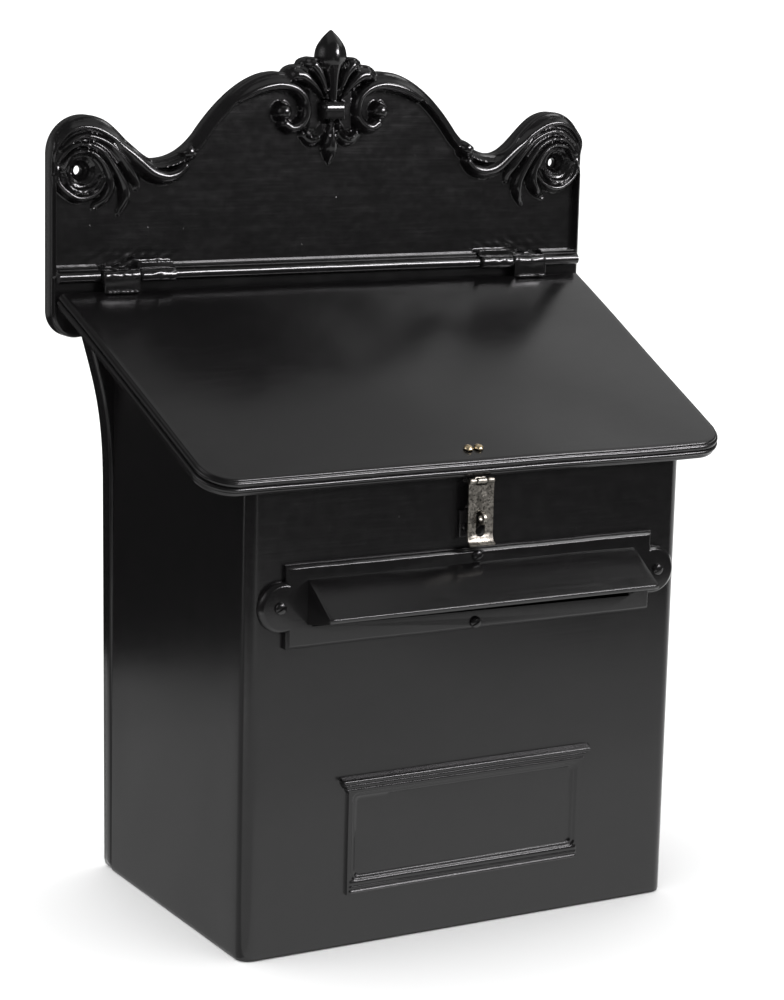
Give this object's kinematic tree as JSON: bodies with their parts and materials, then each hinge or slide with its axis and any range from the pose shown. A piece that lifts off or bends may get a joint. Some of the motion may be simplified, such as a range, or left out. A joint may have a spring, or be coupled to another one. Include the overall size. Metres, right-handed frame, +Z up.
{
  "type": "wall letter box",
  "caption": "Wall letter box of black cast metal: scrolled back plate, sloping hinged lid with hasp, and a hooded letter plate over the slot.",
  "frame": {"origin": "middle of the whole object's box, at the level of the flat bottom", "axes": "+Z up, -Y to the front (hood and lid front), +Y into the wall, X across the front"},
  "size_m": [0.389, 0.236, 0.5425],
  "materials": {
    "black_paint": "gloss black brush paint over rough casting",
    "black_fastener": "black painted screws, paint thin on the heads",
    "bare_steel": "dulled bare steel with paint marks",
    "zinc_steel": "zinc plated steel",
    "brass": "dulled brass"
  },
  "bodies": {
    "box": {"back_plate": "black_paint", "box_shell": "black_paint", "hinge_plate_knuckle_left": "black_paint", "hinge_plate_knuckle_right": "black_paint", "hinge_pin_left": "zinc_steel", "hinge_pin_right": "zinc_steel", "staple_plate": "black_fastener", "staple": "bare_steel", "staple_nut": "zinc_steel", "staple_screw_left": "black_fastener", "staple_screw_right": "black_fastener", "letter_plate": "black_paint", "plate_screw_top": "black_fastener", "plate_nut_top": "zinc_steel", "plate_screw_bottom": "black_fastener", "plate_nut_bottom": "zinc_steel", "plate_screw_left": "black_fastener", "plate_nut_left": "zinc_steel", "plate_screw_right": "black_fastener", "plate_nut_right": "zinc_steel", "back_screw_1": "zinc_steel", "back_screw_2": "zinc_steel", "back_screw_3": "zinc_steel", "back_screw_4": "zinc_steel"},
    "lid": {"lid": "black_paint", "hinge_lid_knuckle_left": "black_paint", "hinge_lid_knuckle_right": "black_paint", "hasp_leaf": "bare_steel", "hasp_pin": "bare_steel", "hasp_rivet_left": "brass", "hasp_rivet_right": "brass"},
    "hasp": {"hasp_strap": "bare_steel"}
  },
  "joints": [
    {"name": "lid_hinge", "type": "hinge", "parent": "box", "child": "lid", "pos_m": [0, 0.1014, 0.3895], "axis": [-1, 0, 0], "range_deg": [0, 112]},
    {"name": "hasp_hinge", "type": "hinge", "parent": "lid", "child": "hasp", "pos_m": [0, -0.0912, 0.2826], "axis": [-1, 0, 0], "range_deg": [0, 120]}
  ]
}
